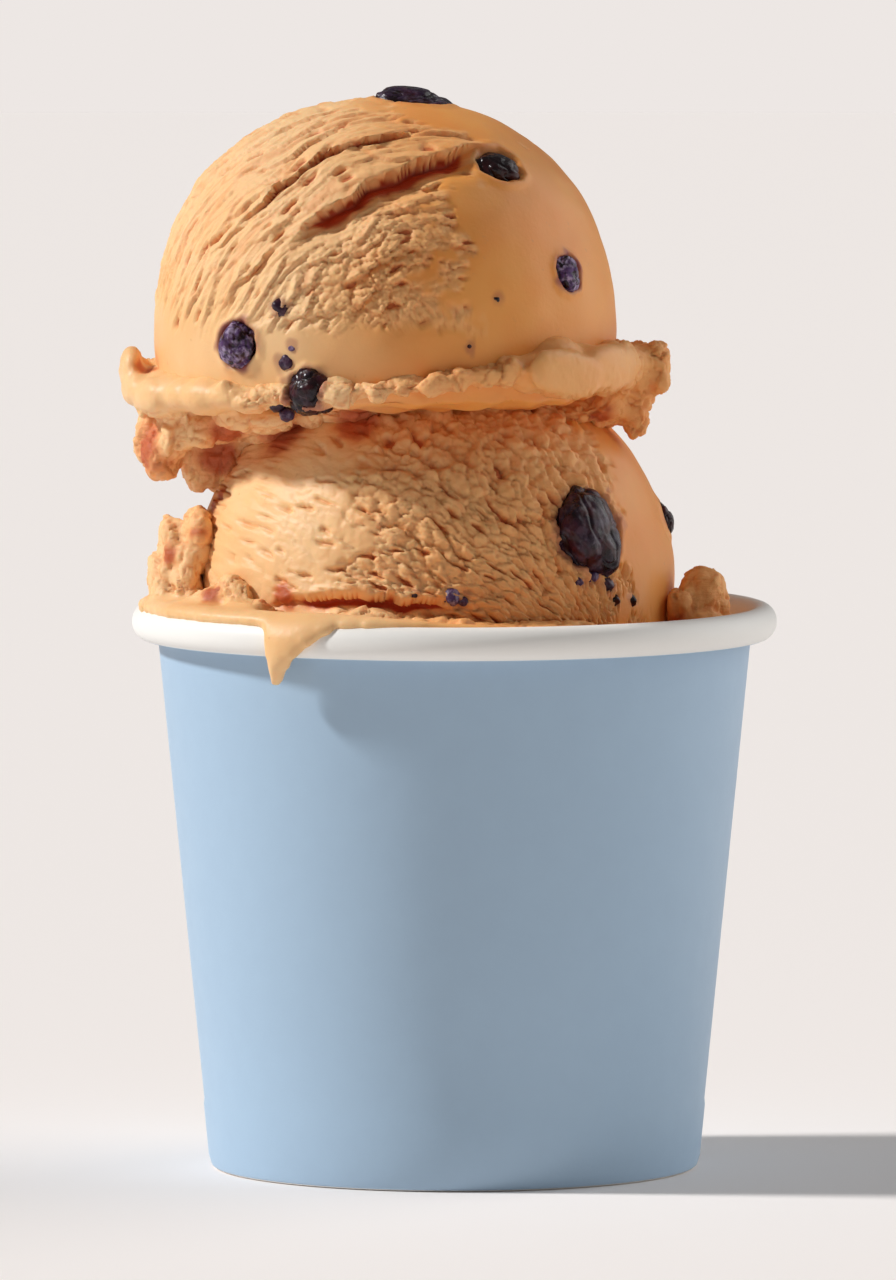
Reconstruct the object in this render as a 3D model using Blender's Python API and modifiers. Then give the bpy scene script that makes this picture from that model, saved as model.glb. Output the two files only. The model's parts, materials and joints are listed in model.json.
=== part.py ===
"""A paper cup with two scoops of gelato and its berries, as closed solids.

Metres, +Z up. The origin is the centre of the ring that the cup stands on, and -Y is the front.
The cup is two pieces of paper: a wall that is folded up inside its foot and curled outwards into
the rim, and a bottom disc whose skirt sits in that fold. The lower scoop goes on down into the cup
and fills it, the upper scoop sits on the lower one, and the larger berries sit in both.
"""

import math
import random

import bmesh
import bpy
from mathutils import Matrix, Vector

MM = 0.001

# The paper cup
CUP_HEIGHT = 70.0 * MM
RIM_RADIUS = 40.0 * MM
WALL_TOP_RADIUS = 36.75 * MM
FOOT_RADIUS = 30.25 * MM
PAPER = 0.45 * MM
ROLL_HEIGHT = 4.2 * MM
HEM_DEPTH = 1.5 * MM
HEM_HEIGHT = 5.6 * MM
BOTTOM_Z = 6.5 * MM
BOTTOM_SKIRT_END = 0.9 * MM
TURN_STEPS = 60
CURL_STEPS = 9
CURL_END_DEG = -125.0

# The gelato
GAP = 0.3 * MM
FILL_TOP = 60.5 * MM
LOWER_CENTRE = Vector((-2.5, -1.5, 71.1)) * MM
LOWER_RADII = Vector((29.8, 28.8, 28.8)) * MM
UPPER_CENTRE = Vector((-8.6, -1.0, 104.2)) * MM
UPPER_RADII = Vector((28.6, 28.6, 28.6)) * MM
UPPER_FLAT_Z = 96.0 * MM
SHOULDER = 0.03
VOXEL = 1.1 * MM
LOWER_TRIANGLES = 2600
UPPER_TRIANGLES = 1900

# Stations round an axis: bearing in degrees, then reach from the axis, height and half
# thickness in millimetres. The skirt is the ragged edge pressed out round the upper scoop.
SKIRT = [
    (0, 35.2, 98.8, 3.9),
    (40, 31.2, 98.6, 2.8),
    (90, 30.4, 98.2, 2.3),
    (140, 31.2, 97.6, 2.8),
    (182, 32.9, 98.3, 3.9),
    (214, 31.4, 96.2, 3.2),
    (252, 30.2, 97.8, 2.2),
    (274, 29.9, 99.2, 1.8),
    (294, 30.2, 100.6, 2.2),
    (322, 32.0, 100.6, 3.9),
]

# The bank of gelato between the lower scoop and the cup's wall: a room is left at the right.
BANK = [
    (0, 29.0, 59.0, 2.0),
    (45, 30.0, 60.0, 2.0),
    (80, 33.6, 65.2, 3.0),
    (115, 34.6, 67.2, 3.0),
    (150, 35.2, 68.2, 3.2),
    (180, 36.0, 69.2, 3.4),
    (210, 36.8, 69.4, 3.4),
    (250, 36.6, 68.8, 3.2),
    (280, 35.0, 67.8, 3.0),
    (312, 33.4, 66.8, 3.0),
    (340, 30.5, 63.5, 3.0),
]

# Loose lumps: centre, then radii outwards, along and up, in millimetres
UPPER_LUMPS = [
    ((-36.9, -3.5, 90.8), (2.9, 3.8, 4.4)),
    ((-34.9, -9.5, 90.4), (3.2, 3.8, 4.2)),
    ((-31.4, -14.0, 91.4), (3.4, 3.6, 3.6)),
    ((-36.4, 3.5, 92.4), (3.0, 4.0, 3.2)),
    ((22.4, -3.5, 93.6), (2.8, 3.2, 3.3)),
    ((20.0, -9.5, 94.6), (3.0, 3.6, 2.6)),
]
LOWER_LUMPS = [
    ((-35.3, -3.5, 71.5), (3.6, 7.0, 4.4)),
    ((-34.7, -4.5, 75.5), (2.9, 6.0, 4.0)),
    ((-33.2, -5.5, 79.2), (2.8, 5.0, 3.6)),
    ((-31.6, -6.5, 82.4), (2.6, 4.0, 2.8)),
    ((-33.6, 5.5, 73.0), (4.0, 6.0, 4.4)),
    ((-31.4, -15.5, 71.5), (4.6, 5.0, 3.6)),
    ((-26.0, -24.0, 70.8), (4.6, 5.0, 3.2)),
    ((30.6, -7.0, 71.6), (3.5, 3.6, 4.2)),
    ((29.2, -8.0, 66.0), (4.4, 4.4, 5.0)),
    ((32.2, -5.4, 68.0), (2.6, 2.6, 3.0)),
]

# The drip over the rim: reach from the cup's axis, height, half depth and half width
DRIP_BEARING = 239.5
DRIP = [
    (38.2, 70.6, 2.4, 4.4),
    (40.0, 69.2, 1.8, 3.7),
    (40.4, 67.5, 1.5, 2.9),
    (40.1, 65.9, 1.5, 2.2),
    (39.4, 64.5, 1.5, 1.6),
]

# Heights where the wall meets the rim's curl
ROLL_CENTRE_Z = CUP_HEIGHT - ROLL_HEIGHT / 2
ROLL_BOTTOM_Z = CUP_HEIGHT - ROLL_HEIGHT

SKIN = {
    "paper_blue": ((0.35, 0.46, 0.56), 0.55),
    "paper_white": ((0.85, 0.84, 0.80), 0.5),
    "gelato_caramel": ((0.82, 0.47, 0.21), 0.45),
    "berry_dark": ((0.025, 0.008, 0.014), 0.3),
}


def clear_scene():
    for obj in list(bpy.data.objects):
        bpy.data.objects.remove(obj, do_unlink=True)


def collection(name):
    made = bpy.data.collections.new(name)
    bpy.context.scene.collection.children.link(made)
    return made


def material(name):
    made = bpy.data.materials.new(name)
    made.use_nodes = True
    colour, roughness = SKIN[name]
    shader = made.node_tree.nodes["Principled BSDF"]
    shader.inputs["Base Color"].default_value = (*colour, 1.0)
    shader.inputs["Roughness"].default_value = roughness
    shader.inputs["Metallic"].default_value = 0.0
    return made


def object_from(bm, name, group, skin=None):
    mesh = bpy.data.meshes.new(name)
    bm.to_mesh(mesh)
    bm.free()
    obj = bpy.data.objects.new(name, mesh)
    group.objects.link(obj)
    if skin:
        obj.data.materials.append(skin)
    return obj


def helper(obj):
    """Marks a cutter, which isn't part of the object."""
    obj.hide_render = True
    obj.display_type = "WIRE"
    return obj


# ---------------------------------------------------------------- cup


def wall_radius(z):
    """Radius of the middle of the wall's paper at height z."""
    slope = (WALL_TOP_RADIUS - FOOT_RADIUS) / ROLL_BOTTOM_Z
    return FOOT_RADIUS - PAPER / 2 + slope * z


def roll_ellipse():
    """(centre radius, half width, half height) of the middle line of the curled rim."""
    inner = wall_radius(ROLL_CENTRE_Z)
    outer = RIM_RADIUS - PAPER / 2
    return (inner + outer) / 2, (outer - inner) / 2, (ROLL_HEIGHT - PAPER) / 2


def curl_points(grow, end_deg):
    """Points over the rim, from its inner side round to the angle end_deg below its outer side."""
    centre, half_width, half_height = roll_ellipse()
    points = []
    for i in range(CURL_STEPS + 1):
        angle = math.radians(180.0 + (end_deg - 180.0) * i / CURL_STEPS)
        r = centre + (half_width + grow) * math.cos(angle)
        z = ROLL_CENTRE_Z + (half_height + grow) * math.sin(angle)
        points.append((r, z))
    return points


def turned(name, points, group, skin=None):
    """The line of (radius, height) points swept a full turn about Z."""
    bm = bmesh.new()
    verts = [bm.verts.new((r, 0.0, z)) for r, z in points]
    for a, b in zip(verts, verts[1:]):
        bm.edges.new((a, b))
    obj = object_from(bm, name, group, skin)
    screw = obj.modifiers.new("turn", "SCREW")
    screw.steps = TURN_STEPS
    screw.render_steps = TURN_STEPS
    screw.use_merge_vertices = True
    screw.merge_threshold = 0.00001
    return obj


def thicken(obj):
    sheet = obj.modifiers.new("paper", "SOLIDIFY")
    sheet.thickness = PAPER
    sheet.offset = 0.0
    sheet.use_even_offset = True
    return obj


def cup_wall(group, skin):
    hem_top = (wall_radius(HEM_HEIGHT) - HEM_DEPTH, HEM_HEIGHT)
    hem_foot = (wall_radius(0) - HEM_DEPTH, PAPER / 2)
    foot = (wall_radius(0), PAPER / 2)
    line = [hem_top, hem_foot, foot] + curl_points(0.0, CURL_END_DEG)
    return thicken(turned("cup_wall", line[::-1], group, skin))


def cup_bottom(group, skin):
    inset = HEM_DEPTH / 2
    corner = (wall_radius(BOTTOM_Z) - inset, BOTTOM_Z)
    skirt_end = (wall_radius(BOTTOM_SKIRT_END) - inset, BOTTOM_SKIRT_END)
    line = [(0.0, BOTTOM_Z), corner, skirt_end]
    return thicken(turned("cup_bottom", line, group, skin))


def cup_clearance(group):
    """The whole cup, a gap bigger on every face, which the gelato is cut with."""
    grow = PAPER / 2 + GAP
    floor_z = BOTTOM_Z + grow
    below = -5.0 * MM
    line = [(0.0, floor_z), (wall_radius(floor_z) - grow, floor_z)]
    line += curl_points(grow, -115.0)
    line += [(wall_radius(ROLL_BOTTOM_Z) + grow, ROLL_BOTTOM_Z - grow)]
    line += [(wall_radius(0) + grow, below), (0.0, below)]
    return helper(turned("cup_clearance", line, group))


# ---------------------------------------------------------------- gelato


def add_lump(bm, centre, radii, turn_deg=0.0, subdivisions=3):
    """An ellipsoid with radii (outwards, along, up), turned about Z to face the angle turn_deg."""
    place = Matrix.Translation(centre)
    place = place @ Matrix.Rotation(math.radians(turn_deg), 4, "Z")
    place = place @ Matrix.Diagonal((*radii, 1.0))
    bmesh.ops.create_icosphere(bm, subdivisions=subdivisions, radius=1.0, matrix=place)


def around(stations, angle):
    """The stations' values at an angle, easing from each station to the next."""
    ring = stations + [(stations[0][0] + 360, *stations[0][1:])]
    for (start, *low), (stop, *high) in zip(ring, ring[1:]):
        if start <= angle <= stop:
            ease = 0.5 - 0.5 * math.cos(math.pi * (angle - start) / (stop - start))
            return [(a + (b - a) * ease) * MM for a, b in zip(low, high)]
    raise ValueError(angle)


def polar(axis, reach, angle, z):
    bearing = math.radians(angle)
    return Vector((axis.x + reach * math.cos(bearing), axis.y + reach * math.sin(bearing), z))


def add_ring(bm, axis, stations, depth, width, seed):
    """Uneven lumps round an axis, through the stations' reach, height and thickness."""
    jitter = random.Random(seed)
    angle = 0.0
    while angle < 360.0:
        reach, height, thick = around(stations, angle)
        size = Vector((depth, width, thick)) * jitter.uniform(0.86, 1.12)
        z = height + jitter.uniform(-0.5, 0.5) * MM
        add_lump(bm, polar(axis, reach - size.x, angle, z), size, angle)
        angle += math.degrees(size.y * 1.05 / reach)


def add_ball(bm, centre, radii, flat_z=None):
    """A scoop's ball with full shoulders, flattened below flat_z where it sits on another."""
    found = bmesh.ops.create_icosphere(bm, subdivisions=5, radius=1.0)
    for vert in found["verts"]:
        up = vert.co.z
        full = 1.0 + SHOULDER * 4.0 * up * up * (1.0 - up * up) if up > 0 else 1.0
        vert.co = centre + vert.co * radii * full
        if flat_z and vert.co.z < flat_z:
            vert.co.z = flat_z - 0.1 * (flat_z - vert.co.z)


def add_fill(bm):
    """The gelato inside the cup, which the cut with the cup trims to the paper."""
    low = BOTTOM_Z
    bmesh.ops.create_cone(
        bm,
        cap_ends=True,
        segments=TURN_STEPS,
        radius1=wall_radius(low),
        radius2=wall_radius(FILL_TOP),
        depth=FILL_TOP - low,
        matrix=Matrix.Translation((0.0, 0.0, (low + FILL_TOP) / 2)),
    )


def add_melt(bm):
    """The soft band that has run onto the rim at the front left, with the drip over its edge."""
    axis = Vector((0.0, 0.0, 0.0))
    for i in range(14):
        angle = 186.0 + 7.0 * i
        near_drip = math.exp(-(((angle - DRIP_BEARING) / 16.0) ** 2))
        size = Vector((2.7 + 0.9 * near_drip, 4.8, 1.5 + 0.6 * near_drip)) * MM
        reach = (36.1 + 0.9 * near_drip) * MM
        add_lump(bm, polar(axis, reach, angle, 70.6 * MM), size, angle)
    for reach, z, deep, wide in DRIP:
        centre = polar(axis, reach * MM, DRIP_BEARING, z * MM)
        add_lump(bm, centre, Vector((deep, wide, 1.9)) * MM, DRIP_BEARING)


def add_lumps(bm, lumps, axis):
    for place, radii in lumps:
        centre = Vector(place) * MM
        bearing = math.degrees(math.atan2(centre.y - axis.y, centre.x - axis.x))
        add_lump(bm, centre, Vector(radii) * MM, bearing)


def soften(obj, triangles, texture):
    """Joins the lumps into one skin, roughens it a little and thins its triangles."""
    join = obj.modifiers.new("join", "REMESH")
    join.mode = "VOXEL"
    join.voxel_size = VOXEL
    relax = obj.modifiers.new("relax", "SMOOTH")
    relax.factor = 0.5
    relax.iterations = 2
    rough = obj.modifiers.new("uneven", "DISPLACE")
    rough.texture = texture
    rough.texture_coords = "LOCAL"
    rough.strength = 1.0 * MM
    rough.mid_level = 0.5
    graph = bpy.context.evaluated_depsgraph_get()
    count = len(obj.evaluated_get(graph).data.polygons) * 2
    thin = obj.modifiers.new("thin", "DECIMATE")
    thin.ratio = triangles / count
    return obj


def cut(obj, cutter):
    boolean = obj.modifiers.new("cut " + cutter.name, "BOOLEAN")
    boolean.operation = "DIFFERENCE"
    boolean.object = cutter


def lower_scoop(group, skin, texture):
    bm = bmesh.new()
    add_fill(bm)
    add_ball(bm, LOWER_CENTRE, LOWER_RADII)
    add_ring(bm, Vector((0.0, 0.0, 0.0)), BANK, 4.6 * MM, 5.0 * MM, seed=3)
    add_lumps(bm, LOWER_LUMPS, LOWER_CENTRE)
    add_melt(bm)
    return soften(object_from(bm, "scoop_lower", group, skin), LOWER_TRIANGLES, texture)


def upper_scoop(group, skin, texture):
    bm = bmesh.new()
    add_ball(bm, UPPER_CENTRE, UPPER_RADII, UPPER_FLAT_Z)
    add_ring(bm, UPPER_CENTRE, SKIRT, 3.4 * MM, 3.2 * MM, seed=5)
    add_lumps(bm, UPPER_LUMPS, UPPER_CENTRE)
    return soften(object_from(bm, "scoop_upper", group, skin), UPPER_TRIANGLES, texture)


def grown_copy(obj, name, group):
    """The solid as it stands, a gap bigger all over, to cut its neighbour with."""
    graph = bpy.context.evaluated_depsgraph_get()
    mesh = bpy.data.meshes.new_from_object(obj.evaluated_get(graph))
    made = bpy.data.objects.new(name, mesh)
    group.objects.link(made)
    swelling = made.modifiers.new("gap", "DISPLACE")
    swelling.strength = GAP * 1.3
    swelling.mid_level = 0.0
    return helper(made)


# ---------------------------------------------------------------- berries

# Each berry: its scoop, the direction from the scoop's centre, its half sizes across,
# along and through the surface in millimetres, and how far it is turned on the surface.
BERRIES = [
    ("upper", (0.12, -0.04, 1.0), (4.9, 3.6, 1.8), 90),
    ("upper", (0.476, -0.503, 0.717), (2.6, 3.5, 2.0), 60),
    ("upper", (0.78, -0.555, 0.27), (2.4, 2.5, 1.8), 0),
    ("upper", (-0.626, -0.78, -0.02), (2.6, 3.2, 2.2), 0),
    ("upper", (-0.317, -0.92, -0.224), (2.8, 3.0, 2.8), 20),
    ("lower", (0.635, -0.70, 0.324), (4.4, 5.6, 3.2), 14),
    ("lower", (0.94, -0.02, 0.34), (1.9, 2.2, 1.8), 0),
    ("upper", (0.45, 0.80, 0.40), (2.4, 3.3, 2.1), 30),
    ("upper", (-0.62, 0.66, 0.42), (2.9, 3.4, 2.4), -40),
    ("lower", (-0.22, 0.90, 0.36), (3.6, 4.6, 2.8), 25),
]
BERRY_SINK = 0.58


def berry_place(scoop, direction, turn_deg):
    """The berry's matrix: its Z points out of the scoop."""
    if scoop == "upper":
        centre, radii = UPPER_CENTRE, UPPER_RADII
    else:
        centre, radii = LOWER_CENTRE, LOWER_RADII
    out = Vector(direction).normalized()
    facing = out.to_track_quat("Z", "Y").to_matrix().to_4x4()
    spin = Matrix.Rotation(math.radians(turn_deg), 4, "Z")
    return Matrix.Translation(centre + out * radii) @ facing @ spin


def add_berry(name, place, half_sizes, group, skin=None, grow=0.0):
    """A berry with a dimpled crown and soft wrinkles, sunk by over half its depth."""
    bm = bmesh.new()
    bmesh.ops.create_icosphere(bm, subdivisions=2, radius=1.0)
    across, along, through = (size * MM + grow for size in half_sizes)
    sink = through * (1.0 - 2.0 * BERRY_SINK)
    for vert in bm.verts:
        bearing = math.atan2(vert.co.y, vert.co.x)
        wrinkle = 1.0 - 0.05 * (1.0 + math.cos(5.0 * bearing)) * (1.0 - vert.co.z**2)
        dimple = 0.12 * math.exp(-((vert.co.x**2 + vert.co.y**2) / 0.08))
        lift = vert.co.z - (dimple if vert.co.z > 0 else 0.0)
        vert.co = Vector(
            (vert.co.x * wrinkle * across, vert.co.y * wrinkle * along, lift * through + sink)
        )
    bmesh.ops.transform(bm, matrix=place, verts=bm.verts[:])
    return object_from(bm, name, group, skin)


def main():
    clear_scene()
    parts = collection("gelato_cup")
    cutters = collection("cutters")
    skins = {name: material(name) for name in SKIN}
    unevenness = bpy.data.textures.new("unevenness", "CLOUDS")
    unevenness.noise_scale = 7.0 * MM
    unevenness.noise_depth = 1

    cup_wall(parts, skins["paper_blue"])
    cup_bottom(parts, skins["paper_white"])
    lower = lower_scoop(parts, skins["gelato_caramel"], unevenness)
    upper = upper_scoop(parts, skins["gelato_caramel"], unevenness)

    cut(lower, cup_clearance(cutters))
    scoops = {"upper": upper, "lower": lower}
    for number, (scoop, direction, half_sizes, turn_deg) in enumerate(BERRIES, start=1):
        place = berry_place(scoop, direction, turn_deg)
        name = f"berry_{number:02d}"
        add_berry(name, place, half_sizes, parts, skins["berry_dark"])
        pocket = add_berry(name + "_pocket", place, half_sizes, cutters, grow=GAP * 1.4)
        cut(scoops[scoop], helper(pocket))
    cut(upper, grown_copy(lower, "lower_clearance", cutters))


main()
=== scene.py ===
import json
import math
import random

import bmesh
import bpy
from mathutils import Matrix, Vector, noise

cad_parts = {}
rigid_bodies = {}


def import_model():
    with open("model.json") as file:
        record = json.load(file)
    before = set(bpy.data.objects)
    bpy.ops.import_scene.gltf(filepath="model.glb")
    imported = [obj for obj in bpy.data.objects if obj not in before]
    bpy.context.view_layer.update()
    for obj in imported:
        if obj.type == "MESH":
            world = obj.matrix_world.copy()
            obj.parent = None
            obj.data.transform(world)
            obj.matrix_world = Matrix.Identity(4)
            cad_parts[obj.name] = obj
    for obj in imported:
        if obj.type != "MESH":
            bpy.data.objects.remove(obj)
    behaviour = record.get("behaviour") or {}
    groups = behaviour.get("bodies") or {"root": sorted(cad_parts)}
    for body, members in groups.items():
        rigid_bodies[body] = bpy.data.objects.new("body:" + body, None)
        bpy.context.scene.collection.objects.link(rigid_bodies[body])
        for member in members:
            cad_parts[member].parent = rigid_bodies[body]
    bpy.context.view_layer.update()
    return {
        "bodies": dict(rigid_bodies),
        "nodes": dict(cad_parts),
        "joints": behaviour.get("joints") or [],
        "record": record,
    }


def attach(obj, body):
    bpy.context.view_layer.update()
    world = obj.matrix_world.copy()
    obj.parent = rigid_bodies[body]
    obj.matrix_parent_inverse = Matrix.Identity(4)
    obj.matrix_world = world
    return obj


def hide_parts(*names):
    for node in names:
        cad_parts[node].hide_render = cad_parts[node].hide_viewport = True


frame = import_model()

mm = 0.001
up = Vector((0.0, 0.0, 1.0))

# ---- shader graph ----


class Value:
    # a shader socket that takes part in Python expressions
    def __init__(self, graph, socket):
        self.graph = graph
        self.socket = socket

    def __add__(self, other):
        return self.graph.math("ADD", self, other)

    def __sub__(self, other):
        return self.graph.math("SUBTRACT", self, other)

    def __mul__(self, other):
        return self.graph.math("MULTIPLY", self, other)

    def __truediv__(self, other):
        return self.graph.math("DIVIDE", self, other)

    def __gt__(self, other):
        return self.graph.math("GREATER_THAN", self, other)

    def __lt__(self, other):
        return self.graph.math("LESS_THAN", self, other)

    def __rsub__(self, other):
        return self.graph.math("SUBTRACT", other, self)

    def __rtruediv__(self, other):
        return self.graph.math("DIVIDE", other, self)

    __radd__ = __add__
    __rmul__ = __mul__


class Graph:
    # the nodes of one Principled material
    def __init__(self, name, **constants):
        self.material = bpy.data.materials.new(name)
        self.material.use_nodes = True
        self.tree = self.material.node_tree
        self.shader = self.tree.nodes["Principled BSDF"]
        for title, value in constants.items():
            self.shader.inputs[title.replace("_", " ")].default_value = value
        self.place = self.node("ShaderNodeTexCoord", output="Object")

    def plug(self, target, value):
        if isinstance(value, Value):
            self.tree.links.new(value.socket, target)
        elif value is not None:
            target.default_value = value

    def node(self, kind, settings=None, inputs=None, output=0):
        made = self.tree.nodes.new(kind)
        for title, value in (settings or {}).items():
            setattr(made, title, value)
        for title, value in (inputs or {}).items():
            self.plug(made.inputs[title], value)
        return Value(self, made.outputs[output])

    def math(self, operation, a, b=None):
        return self.node("ShaderNodeMath", {"operation": operation}, {0: a, 1: b})

    def clamp(self, value):
        return self.node("ShaderNodeClamp", inputs={"Value": value})

    def smooth(self, value, low, high):
        settings = {"interpolation_type": "SMOOTHSTEP"}
        return self.node("ShaderNodeMapRange", settings, {"Value": value, "From Min": low, "From Max": high})

    def mix(self, share, a, b):
        inputs = {"Factor": share, "A": a, "B": b}
        made = self.tree.nodes.new("ShaderNodeMix")
        made.data_type = "RGBA"
        for socket in made.inputs:
            if socket.enabled and socket.name in inputs:
                self.plug(socket, inputs[socket.name])
        return Value(self, next(s for s in made.outputs if s.enabled))

    def noise(self, size, detail=2.0, rough=0.5, where=None):
        inputs = {"Vector": where or self.place, "Scale": 1.0 / size, "Detail": detail, "Roughness": rough}
        return self.node("ShaderNodeTexNoise", None, inputs, "Fac")

    def axes(self):
        parts = self.tree.nodes.new("ShaderNodeSeparateXYZ")
        self.plug(parts.inputs[0], self.place)
        return [Value(self, parts.outputs[axis]) for axis in "XYZ"]

    def combine(self, x, y, z):
        return self.node("ShaderNodeCombineXYZ", inputs={0: x, 1: y, 2: z})

    def attribute(self, name):
        return self.node("ShaderNodeAttribute", {"attribute_name": name}, output="Fac")

    def bump(self, height, distance, strength=1.0, after=None):
        inputs = {"Height": height, "Distance": distance, "Strength": strength}
        if after:
            inputs["Normal"] = after
        return self.node("ShaderNodeBump", None, inputs)

    def finish(self, **links):
        for title, value in links.items():
            self.plug(self.shader.inputs[title.replace("_", " ")], value)
        return self.material


def rgb(red, green, blue):
    # a screen colour, 0 to 255, as the linear one that a shader takes
    def linear(level):
        share = level / 255
        return share / 12.92 if share <= 0.04045 else ((share + 0.055) / 1.055) ** 2.4

    return (linear(red), linear(green), linear(blue), 1.0)


# ---- camera, floor and light ----

studio = {
    "distance": 1.9,
    "height": 0.214,
    "aim": (-0.0008, 0.0, 0.0655),
    "lens": 432,
    "floor": rgb(250, 243, 239),
    "floorRadius": 3.0,
    "sunFrom": (-0.86, 0.0, 0.68),
    "sunPower": 3.0,
    "sunSoftness": math.radians(7),
    "fillFrom": (0.9, 0.35, 0.45),
    "fillPower": 1.25,
    "fillSoftness": math.radians(60),
    "surround": 0.16,
    "backdrop": rgb(237, 231, 228),
}


def aimAt(thing, target):
    thing.rotation_euler = (Vector(target) - thing.location).to_track_quat("-Z", "Y").to_euler()


def addCamera(settings):
    camera = bpy.data.objects.new("camera", bpy.data.cameras.new("camera"))
    bpy.context.scene.collection.objects.link(camera)
    camera.location = (settings["aim"][0], -settings["distance"], settings["height"])
    camera.data.lens = settings["lens"]
    camera.data.clip_start = 0.01
    aimAt(camera, settings["aim"])
    bpy.context.scene.camera = camera


def addSun(settings, name):
    sun = bpy.data.objects.new(name, bpy.data.lights.new(name, "SUN"))
    bpy.context.scene.collection.objects.link(sun)
    sun.location = Vector(settings[name + "From"])
    sun.data.energy = settings[name + "Power"]
    sun.data.angle = settings[name + "Softness"]
    aimAt(sun, (0, 0, 0))


def addLight(settings):
    addSun(settings, "sun")
    addSun(settings, "fill")
    world = bpy.data.worlds.new("studio")
    world.use_nodes = True
    nodes, links = world.node_tree.nodes, world.node_tree.links
    background = nodes["Background"]
    background.inputs["Color"].default_value = (1.0, 1.0, 1.0, 1.0)
    background.inputs["Strength"].default_value = settings["surround"]
    seen = nodes.new("ShaderNodeBackground")
    seen.inputs["Color"].default_value = settings["backdrop"]
    choice = nodes.new("ShaderNodeMixShader")
    links.new(nodes.new("ShaderNodeLightPath").outputs["Is Camera Ray"], choice.inputs[0])
    links.new(background.outputs[0], choice.inputs[1])
    links.new(seen.outputs[0], choice.inputs[2])
    links.new(choice.outputs[0], nodes["World Output"].inputs[0])
    bpy.context.scene.world = world


def addFloor(settings):
    bm = bmesh.new()
    bmesh.ops.create_circle(bm, cap_ends=True, segments=96, radius=settings["floorRadius"])
    mesh = bpy.data.meshes.new("floor")
    bm.to_mesh(mesh)
    bm.free()
    floor = bpy.data.objects.new("floor", mesh)
    bpy.context.scene.collection.objects.link(floor)
    graph = Graph("studioFloor", Base_Color=settings["floor"], Roughness=0.85)
    floor.data.materials.append(graph.material)


bpy.context.scene.view_settings.view_transform = "Standard"
addCamera(studio)
addLight(studio)
addFloor(studio)
print("camera, light and floor are set")

# ---- making pieces ----


def addPiece(name, bm, material, slotName, *replaced):
    mesh = bpy.data.meshes.new(name)
    bm.to_mesh(mesh)
    bm.free()
    mesh.shade_smooth()
    piece = bpy.data.objects.new(name, mesh)
    bpy.context.scene.collection.objects.link(piece)
    mesh.materials.append(material)
    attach(piece, "root")
    if replaced:
        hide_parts(*replaced)
    print(name, "has", sum(len(face.vertices) - 2 for face in mesh.polygons), "triangles")
    return piece


def ease(share):
    share = min(max(share, 0.0), 1.0)
    return share * share * (3.0 - 2.0 * share)


def between(value, low, high):
    return ease((value - low) / (high - low))


def around(stations, angle):
    # the stations' values at an angle, easing from each station to the next
    ring = stations + [(stations[0][0] + 360, *stations[0][1:])]
    for (start, *low), (stop, *high) in zip(ring, ring[1:]):
        if start <= angle <= stop:
            share = ease((angle - start) / (stop - start))
            return [a + (b - a) * share for a, b in zip(low, high)]


def polar(axis, reach, angle, z):
    bearing = math.radians(angle)
    return Vector((axis[0] + reach * math.cos(bearing), axis[1] + reach * math.sin(bearing), z))


def addLump(bm, centre, radii, turn=0.0, tilt=0.0, square=0.0):
    # a lump in millimetres, its radii outwards, along and up, facing the bearing turn
    place = Matrix.Translation(Vector(centre) * mm) @ Matrix.Rotation(math.radians(turn), 4, "Z")
    place = place @ Matrix.Rotation(math.radians(tilt), 4, "X")
    found = bmesh.ops.create_icosphere(bm, subdivisions=3, radius=1.0)
    for vert in found["verts"]:
        spread = max(abs(axis) for axis in vert.co)
        vert.co *= 1 + square * (0.82 / spread - 1) * 0.7
        vert.co = place @ (vert.co * Vector(radii) * mm)


def addRing(bm, axis, stations, depth, width, seed, raggedness=0.0):
    draw = random.Random(seed)
    angle = 0.0
    while angle < 360.0:
        reach, height, thick = around(stations, angle)
        size = Vector((depth, width, thick)) * draw.uniform(0.86, 1.12)
        lift = draw.uniform(-0.5, 0.5)
        addLump(bm, polar(axis, reach - size.x, angle, height + lift), size, angle)
        for _ in range(2):
            crumb = Vector((1.4, 1.6, 1.2)) * draw.uniform(0.6, 1.2)
            swing = angle + draw.uniform(-4, 4)
            rise = height + draw.uniform(-0.9, 0.9) * thick
            out = reach - crumb.x + draw.uniform(-1.2, 0.4)
            if draw.random() < raggedness:
                addLump(bm, polar(axis, out, swing, rise), crumb, swing, draw.uniform(-40, 40))
        angle += math.degrees(size.y * 1.05 / reach)


def addLumps(bm, lumps, axis):
    for centre, radii, tilt, square in lumps:
        turn = math.degrees(math.atan2(centre[1] - axis[1], centre[0] - axis[0]))
        addLump(bm, centre, radii, turn, tilt, square)


def poleFrame(pole):
    pole = Vector(pole).normalized()
    side = pole.cross(up).normalized()
    return pole, side, side.cross(pole)


def poleAngles(direction, pole, side, front):
    # the angle from the pole and the bearing round it, in radians
    fromPole = math.acos(max(-1.0, min(1.0, direction.dot(pole))))
    return fromPole, math.atan2(direction.dot(side), direction.dot(front))


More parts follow.
